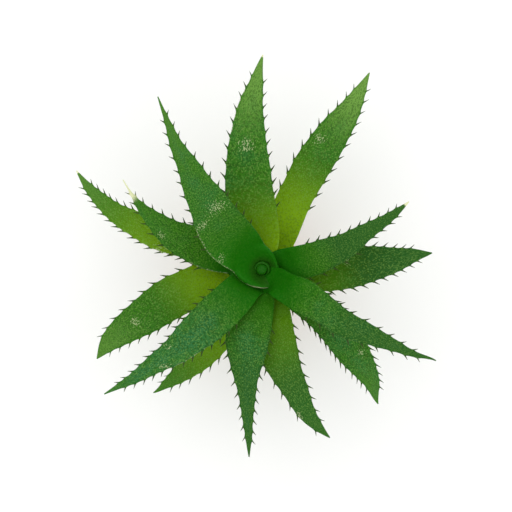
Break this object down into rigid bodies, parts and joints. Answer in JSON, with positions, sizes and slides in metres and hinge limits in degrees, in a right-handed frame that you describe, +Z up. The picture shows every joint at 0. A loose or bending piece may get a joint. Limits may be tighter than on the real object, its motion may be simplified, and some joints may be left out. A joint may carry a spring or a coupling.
{
  "type": "potted succulent",
  "caption": "Spreading rosette succulent with long channelled, toothed leaves, growing in a plain tapered clay pot with a collar.",
  "frame": {"origin": "centre of the pot's underside, where it stands on its surface", "axes": "+Z up along the pot's axis; the highest leaf leans towards -X and +Y"},
  "size_m": [0.2821, 0.303, 0.2507],
  "materials": {
    "clay": "matte",
    "mix": "matte",
    "stem": "satin",
    "heart": "satin",
    "leaf": "satin"
  },
  "bodies": {
    "root": {"pot": "clay", "potting_mix": "mix", "stem": "stem", "heart_leaf_inner": "heart", "heart_leaf_outer": "heart", "leaf_01": "leaf", "leaf_02": "leaf", "leaf_03": "leaf", "leaf_04": "leaf", "leaf_05": "leaf", "leaf_06": "leaf", "leaf_07": "leaf", "leaf_08": "leaf", "leaf_09": "leaf", "leaf_10": "leaf", "leaf_11": "leaf", "leaf_12": "leaf", "leaf_13": "leaf", "leaf_14": "leaf"}
  },
  "joints": []
}
